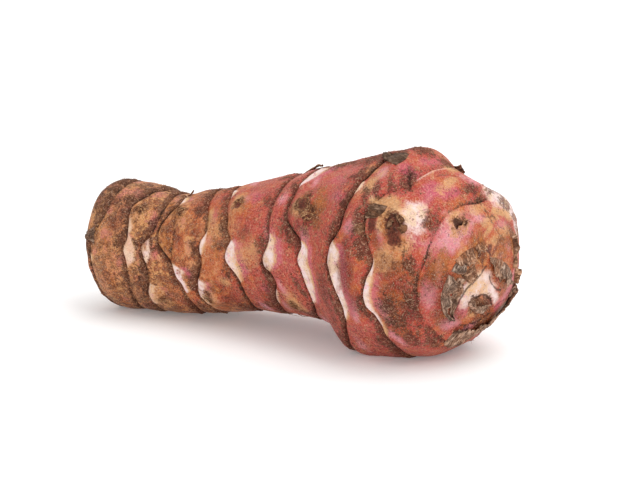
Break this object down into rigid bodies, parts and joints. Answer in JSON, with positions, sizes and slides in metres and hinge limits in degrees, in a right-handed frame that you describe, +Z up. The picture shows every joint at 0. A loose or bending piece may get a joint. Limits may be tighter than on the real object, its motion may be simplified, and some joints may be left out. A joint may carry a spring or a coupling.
{
  "type": "jerusalem artichoke",
  "caption": "Long knobbly red-skinned edible tuber lying on its side, ringed by nodes, with a narrow broken end, a swollen head with eyes, and dried scale leaves.",
  "frame": {"origin": "below the middle of the whole, on the surface that it rests on", "axes": "+Z up, +X along the tuber from the narrow broken end to the head with the growing tip, +Y to the back"},
  "size_m": [0.1164, 0.05, 0.0516],
  "materials": {
    "skin": "thin corky skin, crimson to reddish brown with fine brown speckles, tan at the narrow end, with off-white slivers past the node rings and grey-brown creases",
    "dry_scale": "dry papery scale leaf, dark grey-brown with fine lengthwise fibres",
    "root_thread": "dry fibrous root thread, dull grey-brown"
  },
  "bodies": {
    "root": {"tuber": "skin", "crest_scale": "dry_scale", "shoulder_scale": "dry_scale", "neck_scale": "dry_scale", "tail_scale": "dry_scale", "eye_scale": "dry_scale", "saddle_scale": "dry_scale", "crown_scale_left": "dry_scale", "crown_scale_back": "dry_scale", "crown_scale_low": "dry_scale", "back_scale": "dry_scale", "root_thread_neck": "root_thread", "root_thread_head": "root_thread", "root_thread_back": "root_thread"}
  },
  "joints": []
}
